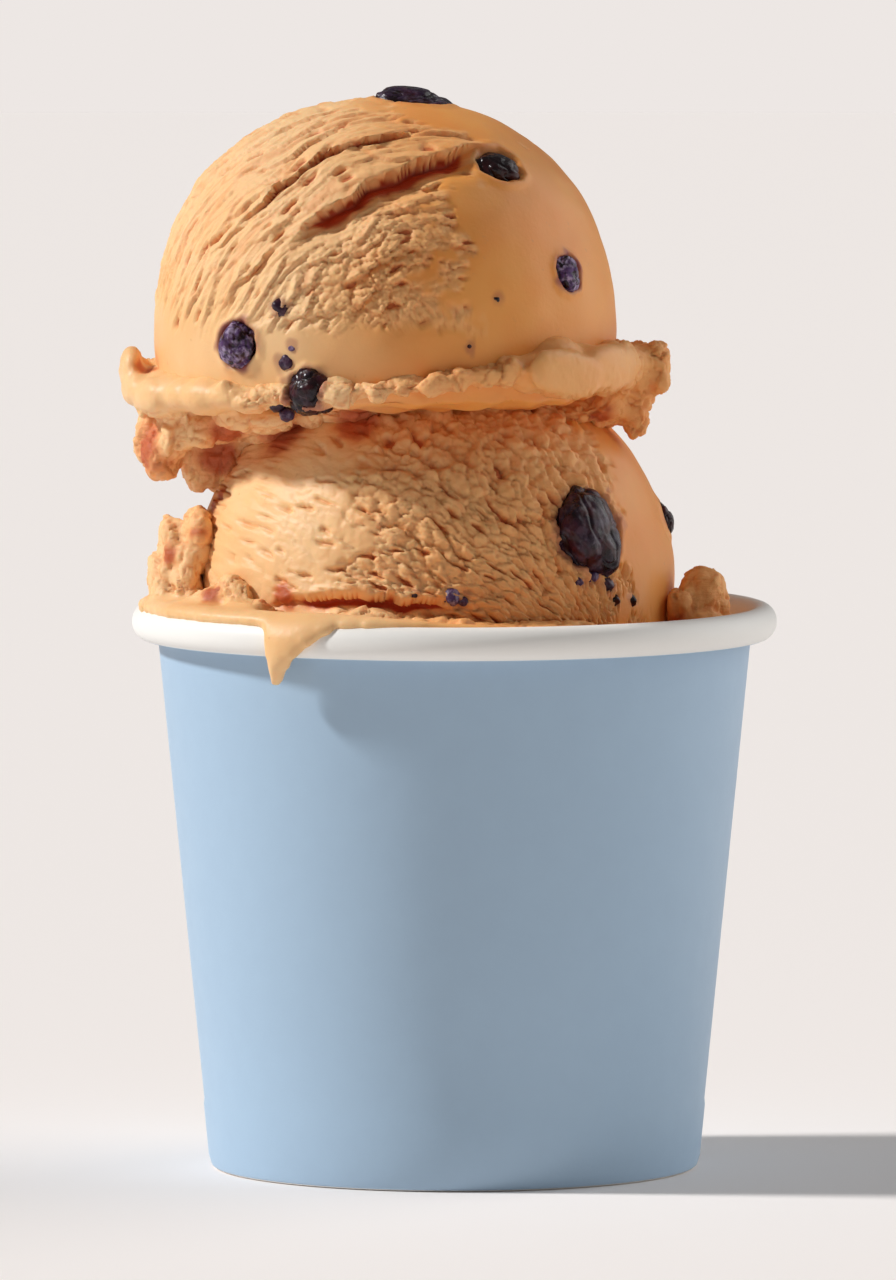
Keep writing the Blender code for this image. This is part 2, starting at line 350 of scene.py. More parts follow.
def spunBall(settings):
    # a ball with its rings round the strokes' pole, closest together where it is torn
    pole, side, front = poleFrame(settings["pole"])
    facing = poleAngles(Vector(settings["facing"]).normalized(), pole, side, front)[1]
    centre, radii = Vector(settings["centre"]), Vector(settings["radii"])
    angles = [0.0]
    while angles[-1] < math.pi:
        degrees = math.degrees(angles[-1])
        step = next(step for limit, step in settings["rings"] if degrees < limit)
        angles.append(min(angles[-1] + step / radii.y, math.pi))
    bm = bmesh.new()
    verts = [bm.verts.new((math.sin(angle), 0.0, math.cos(angle))) for angle in angles]
    edges = [bm.edges.new(pair) for pair in zip(verts, verts[1:])]
    turns = {"angle": 2 * math.pi, "steps": settings["segments"], "use_merge": True}
    bmesh.ops.spin(bm, geom=verts + edges, axis=up, **turns)
    bmesh.ops.remove_doubles(bm, verts=bm.verts[:], dist=1e-6)
    bmesh.ops.recalc_face_normals(bm, faces=bm.faces[:])
    for vert in bm.verts:
        bearing = math.atan2(vert.co.y, vert.co.x)
        bearing += facing - 0.5 * math.sin(bearing)
        outwards = front * math.cos(bearing) + side * math.sin(bearing)
        place = pole * vert.co.z + outwards * math.hypot(vert.co.x, vert.co.y)
        rise = max(place.z, 0.0)
        full = 1.0 + settings["shoulder"] * 4.0 * rise * rise * (1.0 - rise * rise)
        place = centre + place * radii * full
        below = settings["flatZ"] - place.z
        place.z += 0.9 * below if below > 0 else 0.0
        vert.co = place * mm
    bm.normal_update()
    return bm


def skinOver(bm, voxel):
    # joins the lumps into one skin of small, even faces
    mesh = bpy.data.meshes.new("lumps")
    bm.to_mesh(mesh)
    bm.free()
    lumps = bpy.data.objects.new("lumps", mesh)
    bpy.context.scene.collection.objects.link(lumps)
    join = lumps.modifiers.new("join", "REMESH")
    join.mode = "VOXEL"
    join.voxel_size = voxel * mm
    relax = lumps.modifiers.new("relax", "SMOOTH")
    relax.factor = 0.5
    relax.iterations = 1
    fine = lumps.modifiers.new("fine", "SUBSURF")
    fine.levels = 1
    fine.render_levels = 1
    skin = bpy.data.meshes.new_from_object(lumps.evaluated_get(bpy.context.evaluated_depsgraph_get()))
    bpy.data.objects.remove(lumps)
    made = bmesh.new()
    made.from_mesh(skin)
    bpy.data.meshes.remove(skin)
    bpy.data.meshes.remove(mesh)
    made.normal_update()
    return made


# ---- berries ----

# scoop, direction from its centre, half sizes across, along and through in millimetres,
# turn on the surface, its stain on the gelato, and how violet and frosted it is
berries = {
    "berry_01": ("upper", (0.12, -0.04, 1.0), (4.9, 3.6, 1.8), 90, 0.5, 0.15),
    "berry_02": ("upper", (0.476, -0.503, 0.717), (2.6, 3.5, 2.0), 60, 0.3, 0.0),
    "berry_03": ("upper", (0.78, -0.555, 0.27), (2.4, 2.5, 1.8), 0, 1.0, 0.9),
    "berry_04": ("upper", (-0.626, -0.78, -0.02), (2.6, 3.2, 2.2), 0, 1.0, 0.8),
    "berry_05": ("upper", (-0.317, -0.92, -0.224), (3.0, 3.2, 3.0), 20, 0.8, 0.05),
    "berry_06": ("lower", (0.635, -0.70, 0.324), (4.4, 5.6, 3.2), 14, 0.7, 0.1),
    "berry_07": ("lower", (0.94, -0.02, 0.34), (1.9, 2.2, 1.8), 0, 0.4, 0.0),
    "berry_08": ("upper", (0.45, 0.80, 0.40), (2.4, 3.3, 2.1), 30, 0.6, 0.6),
    "berry_09": ("upper", (-0.62, 0.66, 0.42), (2.9, 3.4, 2.4), -40, 0.8, 0.2),
    "berry_10": ("lower", (-0.22, 0.90, 0.36), (3.6, 4.6, 2.8), 25, 0.6, 0.1),
}
berryShape = {"sunk": 0.58, "fineness": 6}
# how the gelato gives way round a berry, in millimetres, and how strongly a crumb stains it
pocketShape = {"near": 3.0, "lipWidth": 1.2, "lipHeight": 0.3, "depth": 1.3, "crumbStain": 0.45}

# loose crumbs of berry: scoop, direction from its centre, size in millimetres and how violet
bits = [
    ("upper", (-0.448, -0.88, 0.143), 1.15, 0.1),
    ("upper", (-0.42, -0.905, -0.09), 1.05, 0.2),
    ("upper", (-0.39, -0.91, -0.03), 0.5, 0.6),
    ("upper", (0.479, -0.86, 0.178), 0.55, 0.0),
    ("upper", (-0.47, -0.84, -0.27), 1.2, 0.1),
    ("upper", (-0.43, -0.86, -0.33), 0.9, 0.3),
    ("upper", (-0.50, -0.82, -0.24), 0.7, 0.3),
    ("upper", (0.36, -0.92, -0.02), 0.35, 0.0),
    ("upper", (0.06, 0.83, 0.53), 0.9, 0.2),
    ("upper", (-0.86, 0.34, 0.32), 1.0, 0.1),
    ("upper", (0.88, 0.38, -0.05), 0.8, 0.4),
    ("lower", (0.074, -0.995, 0.07), 1.1, 0.5),
    ("lower", (0.12, -0.98, 0.05), 0.6, 0.3),
    ("lower", (-0.08, -0.99, 0.083), 0.5, 0.1),
    ("lower", (0.755, -0.55, 0.36), 0.75, 0.0),
    ("lower", (0.70, -0.52, 0.48), 0.4, 0.0),
    ("lower", (0.72, -0.69, 0.10), 1.1, 0.1),
    ("lower", (0.66, -0.74, 0.14), 0.8, 0.4),
    ("lower", (0.75, -0.66, 0.03), 0.7, 0.0),
    ("lower", (0.60, -0.79, 0.12), 0.6, 0.4),
    ("lower", (0.82, -0.57, 0.02), 0.8, 0.0),
    ("lower", (-0.66, 0.62, 0.42), 0.9, 0.1),
    ("lower", (0.45, 0.80, 0.40), 1.0, 0.3),
]

# ---- gelato ----

upperBall = {
    "name": "upperDome",
    "centre": (-8.6, -1.0, 104.2),
    "radii": (28.6, 28.6, 28.6),
    "shoulder": 0.03,
    "flatZ": 96.5,
    "pole": (0.355, -0.83, -0.43),
    "facing": (-0.35, -0.75, 0.56),
    "rings": [(36, 0.55), (108, 0.24), (181, 0.8)],
    "segments": 420,
    "seed": 0.0,
    # the torn strokes run in circles round the pole, and how far they reach round it
    "circles": True,
    "reach": 0.9,
    "wander": (1.3, 0.30),
    # length and width of the torn plates, their tilt, spread and dome in millimetres
    "plates": [(10.0, 2.1, 0.34, 0.10, 0.0), (5.0, 0.95, 0.17, 0.07, 0.0), (1.6, 0.6, 0.05, 0.05, 0.05)],
    "shingles": [(4.2, 1.7, 0.62, 0.24, 0.1), (2.0, 0.85, 0.24, 0.12, 0.1), (0.9, 0.5, 0.06, 0.06, 0.06)],
    "pits": (3.4, 0.8, 0.5),
    # smooth patches: direction, half angle in degrees and how smooth
    "smooth": [
        ((0.88, -0.42, 0.22), 47, 1.0),
        ((0.3, -0.1, 0.95), 24, 1.0),
        ((-0.25, 0.9, 0.3), 34, 1.0),
    ],
    "smoothBelow": (104.6, 108.6),
    "fray": (12.0, 8.0),
    "cracks": [
        {
            "through": [(-0.40, -0.81, 0.40), (0.09, -0.67, 0.737), (0.38, -0.48, 0.80)],
            "deep": 2.9,
            "wide": 6.6,
        },
        {
            "through": [(-0.62, -0.62, 0.45), (-0.27, -0.58, 0.77), (0.12, -0.48, 0.87)],
            "deep": 1.7,
            "wide": 1.9,
        },
        {
            "through": [(-0.74, -0.56, 0.34), (-0.66, -0.61, 0.42), (-0.58, -0.65, 0.47)],
            "deep": 0.8,
            "wide": 1.3,
        },
        {
            "through": [(-0.66, -0.72, 0.19), (-0.57, -0.76, 0.29), (-0.48, -0.79, 0.37)],
            "deep": 1.3,
            "wide": 1.6,
        },
    ],
}

lowerBall = {
    "name": "lowerDome",
    "centre": (-2.5, -1.5, 71.1),
    "radii": (29.8, 28.8, 28.8),
    "shoulder": 0.03,
    "flatZ": 62.0,
    "pole": (0.74, -0.62, -0.30),
    "facing": (-0.35, -0.80, 0.40),
    "rings": [(12, 0.6), (98, 0.26), (181, 0.9)],
    "segments": 400,
    "seed": 40.0,
    "circles": False,
    "reach": 0.85,
    "wander": (1.6, 0.5),
    "plates": [(5.5, 2.6, 0.50, 0.20, 0.1), (2.3, 1.25, 0.30, 0.22, 0.34), (1.1, 0.7, 0.10, 0.10, 0.22)],
    "shingles": [],
    "pits": (3.2, 0.8, 0.9),
    "smooth": [
        ((0.93, -0.1, 0.25), 34, 1.0),
        ((-0.70, -0.62, 0.36), 29, 0.8),
        ((-0.62, 0.74, 0.26), 56, 1.0),
    ],
    "smoothBelow": (60.0, 61.0),
    "fray": (14.0, 8.0),
    "cracks": [
        {
            "through": [(-0.69, -0.72, 0.03), (-0.38, -0.92, 0.06), (0.1, -0.99, 0.02)],
            "deep": -1.5,
            "wide": 3.0,
        },
    ],
}

# bearing round the axis, then reach, height and half thickness in millimetres
skirt = [
    (0, 34.4, 99.4, 3.2),
    (40, 31.2, 98.8, 2.4),
    (90, 30.4, 98.4, 2.0),
    (140, 31.2, 97.8, 2.4),
    (178, 31.0, 97.2, 2.8),
    (214, 30.8, 96.6, 2.6),
    (236, 30.2, 97.0, 1.9),
    (254, 29.2, 98.0, 1.1),
    (274, 29.0, 99.3, 0.9),
    (290, 29.3, 100.4, 1.3),
    (322, 31.6, 100.6, 3.6),
]
# centre, then radii outwards, along and up, then tilt and how square the lump is
skirtLumps = [
    ((-40.0, -2.0, 99.4), (1.5, 4.4, 3.0), 0, 0.2),
    ((-39.4, 2.6, 98.6), (1.6, 3.6, 2.6), 0, 0.2),
    ((-39.4, -5.0, 97.0), (1.8, 4.6, 2.2), 0, 0),
    ((-37.2, -10.0, 96.2), (2.0, 4.6, 2.6), 6, 0),
    ((-38.2, 3.0, 96.2), (2.0, 4.4, 2.8), 0, 0),
    ((-37.2, -1.6, 91.0), (2.4, 4.6, 4.2), 10, 0.3),
    ((-36.2, -5.6, 89.0), (2.4, 3.2, 3.4), -14, 0.4),
    ((-34.4, -7.8, 91.6), (2.4, 3.4, 3.2), 18, 0.4),
    ((-31.6, -10.2, 92.2), (2.4, 3.4, 2.2), -10, 0.4),
    ((-31.0, -2.0, 88.8), (3.2, 4.2, 5.0), 0, 0.2),
    ((-28.0, -2.6, 87.8), (2.6, 4.0, 5.6), 0, 0.2),
    ((-22.0, -5.0, 92.6), (6.5, 8.0, 3.4), 0, 0),
    ((-29.6, -7.4, 93.2), (3.4, 6.0, 2.8), 0, 0),
    ((-25.0, -14.0, 94.0), (4.0, 7.0, 2.0), 0, 0),
    ((-14.0, -10.0, 94.6), (8.0, 10.0, 2.2), 0, 0),
    ((15.0, -4.0, 94.0), (5.6, 7.0, 2.6), 0, 0),
    ((-17.6, -28.6, 97.1), (1.5, 1.9, 1.7), 10, 0.8),
    ((-14.1, -29.8, 97.6), (1.6, 2.4, 1.9), -8, 0.9),
    ((-9.6, -30.2, 98.0), (1.4, 1.3, 1.7), 14, 0.9),
    ((-6.4, -30.0, 98.4), (1.2, 1.7, 1.1), -6, 0.7),
    ((-2.6, -29.8, 98.9), (1.5, 1.9, 1.6), 20, 0.8),
    ((0.6, -29.2, 99.5), (1.4, 1.5, 2.0), -22, 0.8),
    ((3.6, -28.2, 99.7), (1.6, 1.8, 1.7), 12, 0.8),
    ((6.4, -26.8, 100.1), (1.5, 1.6, 2.3), -12, 0.8),
    ((13.6, -23.4, 100.0), (1.5, 6.6, 3.2), -9, 0.5),
    ((18.4, -16.0, 100.2), (2.0, 6.0, 3.3), 0, 0.4),
    ((25.0, -4.5, 100.4), (1.9, 3.4, 3.0), 0, 0.5),
    ((25.4, -6.0, 97.8), (1.6, 2.6, 2.0), 0, 0.3),
    ((22.6, -6.0, 94.0), (1.7, 2.2, 3.2), 0, 0.3),
    ((19.0, -6.0, 95.2), (3.0, 4.4, 2.6), 0, 0.2),
    ((22.0, 4.0, 96.0), (3.0, 4.0, 3.0), 0, 0.2),
]

skirtVoxel = 0.56

bank = [
    (0, 29.0, 59.0, 2.0),
    (45, 30.0, 60.0, 2.0),
    (80, 33.6, 65.2, 3.0),
    (115, 34.6, 67.2, 3.0),
    (150, 35.2, 68.0, 3.0),
    (180, 35.8, 68.6, 3.0),
    (210, 36.2, 68.8, 2.8),
    (250, 36.2, 68.6, 2.6),
    (280, 34.8, 67.6, 2.6),
    (312, 33.4, 66.8, 3.0),
    (340, 30.5, 63.5, 3.0),
]
bankLumps = [
    ((-36.4, -4.0, 72.0), (1.5, 6.4, 5.4), 0, 0.2),
    ((-35.4, -5.0, 77.0), (1.4, 4.8, 5.0), 0, 0.2),
    ((-33.3, -8.0, 73.4), (2.0, 4.4, 5.8), 8, 0.3),
    ((-31.8, -8.2, 78.4), (1.9, 3.6, 4.6), -6, 0.3),
    ((-32.6, 1.0, 74.0), (2.4, 6.0, 6.0), 0, 0.2),
    ((-30.6, -16.4, 70.6), (1.9, 4.2, 2.6), 0, 0.3),
    ((-25.6, -22.8, 70.4), (2.2, 3.6, 2.2), 10, 0.3),
    ((-27.2, -19.0, 73.2), (1.5, 3.4, 1.9), -14, 0.4),
    ((30.6, -7.0, 71.8), (3.2, 3.2, 3.6), 0, 0.3),
    ((29.2, -8.0, 66.0), (4.4, 4.4, 5.0), 0, 0),
    ((32.4, -5.6, 69.4), (2.2, 2.4, 3.2), 0, 0.3),
    ((28.2, -10.0, 70.6), (1.8, 2.4, 2.4), 0, 0.3),
]
bankVoxel = 0.72
# the gelato under the bank, cut off flat at a height
bankPlug = {"bottom": 34.9, "top": 35.7, "depth": 9, "middle": 56.0, "cut": 57.0}
# the gelato deep in the cup, its top and the gaps left under and beside it
fill = {"top": 56.8, "under": 0.4, "beside": 0.5}
drip = {
    "middle": (239.0, 67.5),
    # bearing, reach from the cup's axis, height, half depth and half width
    "path": [
        (241.6, 38.0, 70.2, 1.7, 6.6),
        (240.8, 39.5, 69.4, 1.2, 5.2),
        (239.8, 40.3, 68.2, 1.1, 3.9),
        (238.8, 40.5, 66.9, 1.1, 2.8),
        (237.8, 40.2, 65.5, 1.2, 1.9),
        (237.0, 39.7, 64.3, 1.2, 1.2),
        (236.6, 39.3, 63.4, 1.0, 0.8),
    ],
}
# a crack's ends in radians, the lip above it and the drop under it in millimetres
crackEdge = {"end": 0.06, "fadeIn": 0.16, "fadeOut": 0.3, "lip": 2.4, "drop": 0.3, "shelf": 0.4, "curve": 1.6}
# places deep between the lumps, where painted shade and a painted orange glow darken and redden the gelato's
# colour: centre and radius
shadedCrevices = [
    ((-29.2, -7.0, 88.5), 4.8),
    ((-28.4, -7.0, 83.5), 3.6),
    ((-37.0, -6.0, 89.6), 5.6),
    ((-28.0, -12.0, 92.4), 4.6),
    ((-21.0, -13.0, 92.0), 6.0),
    ((-12.0, -19.0, 93.5), 5.0),
    ((-38.0, -5.0, 99.9), 2.4),
    ((-35.0, -9.0, 77.0), 2.2),
    ((-31.6, -10.6, 79.5), 2.0),
    ((-30.0, -19.5, 72.6), 2.4),
    ((-21.5, -24.5, 72.8), 3.0),
    ((18.6, -10.5, 93.4), 3.0),
    ((28.0, -10.5, 68.5), 2.6),
]


def rough(place, size, seed=0.0):
    return noise.noise(place / size + Vector((seed, seed * 1.7, -seed)))


def plate(along, across, shape, seed):
    # a torn plate's height, rising to a sharp edge, and how deep the gap beside it is
    length, width, tilt, spread, dome = shape
    spot = Vector((along / length, across / width, seed))
    away, centres = noise.voronoi(spot)
    rise = tilt * (spot.y - centres[0].y) + spread * noise.cell(centres[0] * 31.7)
    gap = 1 - ease((away[1] - away[0]) / 0.16)
    return rise + dome * (0.45 - away[0]) - 0.35 * gap * (tilt + dome), gap


def crackMiddle(line, bearing):
    (firstAngle, first), (midAngle, mid), (lastAngle, last) = line
    bearing = min(max(bearing, first), last)
    if bearing < mid:
        return firstAngle + (midAngle - firstAngle) * (bearing - first) / (mid - first)
    return midAngle + (lastAngle - midAngle) * (bearing - mid) / (last - mid)


def crackAt(crack, line, below, bearing):
    # a ledge: sheer under its upper lip, then ramping out; below is the distance under the lip
    first, last = line[0][1], line[2][1]
    end, lip, shelf = crackEdge["end"], crackEdge["lip"], crackEdge["shelf"]
    if not (first - end < bearing < last + end and -lip < below < crack["wide"]):
        return 0.0, 0.0
    fade = between(bearing, first - end, first + crackEdge["fadeIn"])
    fade *= 1 - between(bearing, last - crackEdge["fadeOut"], last + end)
    if below < 0:
        return 0.0, ease(1 + below / lip) * fade
    ramp = min(1.0, 1 - (below - shelf) / (crack["wide"] - shelf)) ** crackEdge["curve"]
    return abs(crack["deep"]) * ease(below / crackEdge["drop"]) * ramp * fade, 0.0


def berryCentre(name):
    scoop, direction = berries[name][:2]
    ball = upperBall if scoop == "upper" else lowerBall
    out = Vector(direction).normalized()
    return Vector(ball["centre"]) + out * Vector(ball["radii"]), out


def bitCentre(scoop, direction, size):
    ball = upperBall if scoop == "upper" else lowerBall
    out = Vector(direction).normalized()
    return Vector(ball["centre"]) + out * (Vector(ball["radii"]) - Vector((0.5, 0.5, 0.5)) * size)


berrySpots = [(berryCentre(name)[0], max(row[2][:2]), row[4], 1.0) for name, row in berries.items()]
berrySpots += [(bitCentre(*bit[:3]), bit[2], pocketShape["crumbStain"], 0.0) for bit in bits]


def berryEffect(place):
    # how deep the pocket is here, the lip round it and the stain
    pocket = lip = stain = 0.0
    for centre, reach, strength, whole in berrySpots:
        away = (place - centre).length
        if away > reach + pocketShape["near"]:
            continue
        away += 0.5 * rough(place, 1.5, 4)
        pocket = max(pocket, whole * (1 - between(away, reach * 0.6, reach * 0.98)))
        rising = whole * between(away, reach * 0.8, reach)
        lip = max(lip, rising * (1 - between(away, reach, reach + pocketShape["lipWidth"])))
        ragged = away + 0.8 * rough(place, 1.4, 9)
        stain = max(stain, strength * (1 - between(ragged, reach * 0.8, reach + 0.7)))
    return pocket, lip, stain


# painted shade and orange glow: how strongly the colour is darkened and reddened near the listed deep places
def creviceShadeAt(place):
    glow = 0.0
    for centre, radius in shadedCrevices:
        away = (place - Vector(centre)).length + 0.8 * rough(place, 1.6, 15)
        glow = max(glow, 0.85 - 0.85 * between(away, radius * 0.3, radius * 1.1))
    return glow


def smoothShare(direction, settings, place):
    # 1 where the scoop's wall has left the gelato smooth, 0 where it is torn
    wide, fine = settings["fray"]
    fray = wide * rough(place, 5.0, 2) + fine * rough(place, 1.6, 2)
    low, high = settings["smoothBelow"]
    share = 1 - between(place.z + 0.12 * fray, low, high)
    for middle, half, strength in settings["smooth"]:
        away = math.degrees(direction.angle(Vector(middle))) + fray
        share = max(share, strength * (1 - between(away, half - 4, half + 4)))
    return share


def gelatoLayers(bm):
    return [bm.verts.layers.float.new(name) for name in ("creaseShade", "stain", "wet", "deep", "along", "across")]


def crackLines(settings, frame):
    # each crack's points as places across and along the strokes, in order along them
    lines = []
    for crack in settings["cracks"]:
        points = [poleAngles(Vector(point).normalized(), *frame) for point in crack["through"]]
        if not settings["circles"]:
            points = [(bearing, fromPole) for fromPole, bearing in points]
        lines.append(sorted(points, key=lambda point: point[1]))
    return lines


def tearBall(bm, settings):
    # the scoop's torn plates, its pits and its open cracks
    frame = poleFrame(settings["pole"])
    pole, side, front = frame
    centre = Vector(settings["centre"])
    radius = settings["radii"][1]
    seed = settings["seed"]
    circles, reach = settings["circles"], settings["reach"]
    lines = crackLines(settings, frame)
    pitLength, pitWidth, pitDepth = settings["pits"]
    bigSlide, fineSlide = settings["wander"]
    creaseShade, stained, wet, shadeSideLayer, alongLayer, acrossLayer = gelatoLayers(bm)
    for vert in bm.verts:
        place = vert.co / mm
        direction = (place - centre).normalized()
        fromPole, bearing = poleAngles(direction, *frame)
        if circles:
            across, along = -fromPole * radius, bearing * radius * reach
            lipWay = (pole - direction * pole.dot(direction)).normalized()
        else:
            across, along = -bearing * radius * reach, fromPole * radius
            lipWay = front * math.sin(bearing) - side * math.cos(bearing)
        under = 1 - between(place.z, settings["flatZ"] + 0.5, settings["flatZ"] + 1.5)
        smooth = smoothShare(direction, settings, place)
        torn = (1 - smooth) * (1 - under)
        lift = 0.28 * rough(place, 9.0, seed + 6) + 0.10 * rough(place, 3.5, seed + 7)
        slip = depth = 0.0
        ragged = 0.75 * rough(place, 2.6, 11) + 0.06 * rough(place, 1.0, 12)
        gaping = 0.0
        for crack, line in zip(settings["cracks"], lines):
            if circles:
                below = (crackMiddle(line, bearing) - fromPole) * radius + ragged
                deep, lip = crackAt(crack, line, below, bearing)
            else:
                beside = (crackMiddle(line, fromPole) - bearing) * radius * reach
                below = beside * math.copysign(1, crack["deep"]) + ragged
                deep, lip = crackAt(crack, line, below, fromPole)
            gaping = max(gaping, deep / abs(crack["deep"]))
            lift += 0.5 * lip - deep
            slip += 0.9 * lip
            depth = max(depth, ease((deep / abs(crack["deep"]) - 0.2) / 0.5))
        slide = bigSlide * rough(place, 9.0, seed + 3) + fineSlide * rough(place, 2.4, seed + 5)
        if torn > 0.01:
            shingled = 0.0
            if circles:
                underLip = (crackMiddle(lines[0], bearing) - fromPole) * radius
                shingled = between(underLip + 1.6 * ragged, 2.6, 4.6)
            strength = torn * (1 - 0.8 * gaping)
            for share, shapes in ((1 - shingled, settings["plates"]), (shingled, settings["shingles"])):
                if share < 0.01:
                    continue
                for number, shape in enumerate(shapes):
                    rise, gap = plate(along + 0.4 * slide, across + slide, shape, seed + 7 * number)
                    if number == 0:
                        rise *= min(max(0.75 + 1.3 * rough(place, 5.5, seed + 17), 0.15), 1.35)
                    lift += share * strength * rise
                    slip += share * strength * max(rise, 0.0) * 0.5
                    depth = max(depth, share * strength * gap * (0.5, 0.3, 0.0)[number])
        pit = noise.noise(Vector((along / pitLength, (across + slide) / pitWidth, seed + 33)))
        pit = ease((pit - 0.30) / 0.22) * min(3 * torn, 1.0) * (1 - gaping)
        lift -= pitDepth * pit
        depth = max(depth, 0.8 * pit)
        if under > 0:
            lift += under * 0.6 * rough(place, 3.0, seed + 12)
        pocket, lip, stain = berryEffect(place)
        lift += pocketShape["lipHeight"] * lip - pocketShape["depth"] * pocket
        vert.co += (vert.normal * lift + lipWay * slip) * mm
        # painted shade and orange glow, deepest in cracks, plate gaps, pits and the listed deep places
        vert[creaseShade] = min(max(depth, creviceShadeAt(place)), 1.0)
        vert[stained] = stain
        vert[wet] = smooth
        # painted shade: the side away from the key lamp gets the deeper orange, more of it where the gelato
        # is smooth
        vert[shadeSideLayer] = between(direction.x, -0.55, 0.25) * (0.55 + 0.45 * smooth)
        vert[alongLayer] = along * mm
        vert[acrossLayer] = (across + slide) * mm


def crumple(bm, seed, calm, axis):
    # lumps broken into chips at two sizes; calm gives how melted a place is
    creaseShade, stained, wet, shadeSideLayer, alongLayer, acrossLayer = gelatoLayers(bm)
    for vert in bm.verts:
        place = vert.co / mm
        melt = calm(place)
        crag = 1 - melt
        lift = 0.12 * rough(place, 5.0, seed + 3) + 0.05 * crag * rough(place, 0.7, seed + 2)
        depth = 0.0
        for size, height in ((4.6, 0.50), (1.9, 0.22), (0.8, 0.07)):
            spot = place / size + Vector((seed, 0.3 * rough(place, 1.0), seed))
            away, centres = noise.voronoi(spot)
            lean = noise.cell_vector(centres[0] * 23.1) - Vector((0.5, 0.5, 0.5))
            gap = 1 - ease((away[1] - away[0]) / 0.14)
            lift += crag * height * (2.0 * lean.dot(spot - centres[0]) + 0.7 * lean.x - 0.55 * gap)
            depth = max(depth, crag * gap * (0.55 if size > 1 else 0.0))
        pocket, lip, stain = berryEffect(place)
        lift += pocketShape["lipHeight"] * lip - pocketShape["depth"] * pocket
        vert.co += vert.normal * lift * mm
        # painted shade and orange glow in the gaps between chips and in the listed deep places
        vert[creaseShade] = min(max(depth, creviceShadeAt(place)), 1.0)
        vert[stained] = stain
        vert[wet] = melt
        # painted shade: the right side, away from the key lamp, gets the deeper orange
        vert[shadeSideLayer] = 0.7 * between(place.x, -18, 6)
        bearing = math.atan2(place.y - axis[1], place.x - axis[0])
        vert[alongLayer] = bearing * 30 * mm
        vert[acrossLayer] = place.z * mm


def makeBall(settings, material, node):
    bm = spunBall(settings)
    tearBall(bm, settings)
    addPiece(settings["name"], bm, material, "gelato", node)


def makeSkirt(material):
    bm = bmesh.new()
    axis = upperBall["centre"]
    addRing(bm, axis, skirt, 3.2, 4.4, seed=5, raggedness=0.35)
    addLumps(bm, skirtLumps, axis)
    bm = skinOver(bm, skirtVoxel)

    def bandCalm(place):
        turn = math.degrees(math.atan2(place.y - axis[1], place.x - axis[0])) % 360
        left = (1 - between(abs(turn - 206), 22, 32)) * between(place.z, 93.8, 95.2)
        right = (1 - between(abs(turn - 322), 16, 22)) * between(place.z, 97.0, 98.4)
        return 0.9 * max(left, right)

    crumple(bm, seed=60.0, calm=bandCalm, axis=axis)
    addPiece("upperSkirt", bm, material, "gelato", "scoop_upper")


def addMelt(bm):
    for step in range(22):
        angle = 190.0 + 4.0 * step
        thin = 1 - ease((angle - 244) / 30)
        size = (1.2 + 1.3 * thin, 3.6, 0.5 + 0.8 * thin)
        addLump(bm, polar((0, 0), 36.6 + 0.7 * thin, angle, 69.9 + 0.3 * thin), size, angle)
    for bearing, reach, z, deep, wide in drip["path"]:
        addLump(bm, polar((0, 0), reach, bearing, z), (deep, wide, 1.3), bearing)


def meltCalm(place):
    outside = math.hypot(place.x, place.y)
    melt = between(outside, 33.8, 35.4) * between(place.z, 68.0, 69.0) * (1 - between(place.z, 71.6, 72.6))
    melt *= between(-place.y, 6.0, 12.0) * (1 - between(place.x, 14.0, 20.0))
    bearing, z = drip["middle"]
    return max(melt, 1 - between((place - polar((0, 0), 39.5, bearing, z)).length, 5.5, 7.5))


def makeBank(material):
    bm = bmesh.new()
    addRing(bm, (0, 0), bank, 4.6, 5.0, seed=3, raggedness=0.5)
    bottom, top, depth = (bankPlug[name] * mm for name in ("bottom", "top", "depth"))
    plug = {"radius1": bottom, "radius2": top, "depth": depth}
    middle = Matrix.Translation((0, 0, bankPlug["middle"] * mm))
    bmesh.ops.create_cone(bm, cap_ends=True, segments=96, matrix=middle, **plug)
    addLumps(bm, bankLumps, lowerBall["centre"])
    addMelt(bm)
    bm = skinOver(bm, bankVoxel)
    geometry = bm.verts[:] + bm.edges[:] + bm.faces[:]
    level = Vector((0, 0, bankPlug["cut"] * mm))
    bmesh.ops.bisect_plane(bm, geom=geometry, plane_co=level, plane_no=up, clear_inner=True)
    bmesh.ops.holes_fill(bm, edges=[edge for edge in bm.edges if edge.is_boundary])
    bm.normal_update()
    crumple(bm, seed=80.0, calm=meltCalm, axis=(0, 0))
    keepInCup(bm)
    addPiece("lowerBank", bm, material, "gelato", "scoop_lower")


def keepInCup(bm):
    # trims the gelato to the paper's inner side, leaving alone what has run out over the rim
    gap, below, rim = 0.1, 69.0, 38.4
    for vert in bm.verts:
        outside = math.hypot(vert.co.x, vert.co.y)
        limit = (wallMiddle(vert.co.z / mm) - cup["paper"] / 2 - gap) * mm
        if vert.co.z < below * mm and limit < outside < rim * mm:
            vert.co.x *= limit / outside
            vert.co.y *= limit / outside


def makeFill(material):
    # the gelato deep in the cup, which nothing shows
    bm = bmesh.new()
    low, high = cup["bottomZ"] + fill["under"], fill["top"]
    lower, upper = ((wallMiddle(z) - fill["beside"]) * mm for z in (low, high))
    size = {"radius1": lower, "radius2": upper}
    middle = Matrix.Translation((0, 0, (low + high) / 2 * mm))
    bmesh.ops.create_cone(bm, cap_ends=True, segments=96, depth=(high - low) * mm, matrix=middle, **size)
    gelatoLayers(bm)
    piece = addPiece("gelatoInCup", bm, material, "gelato", "scoop_lower")
    piece.data.set_sharp_from_angle(angle=0.6)


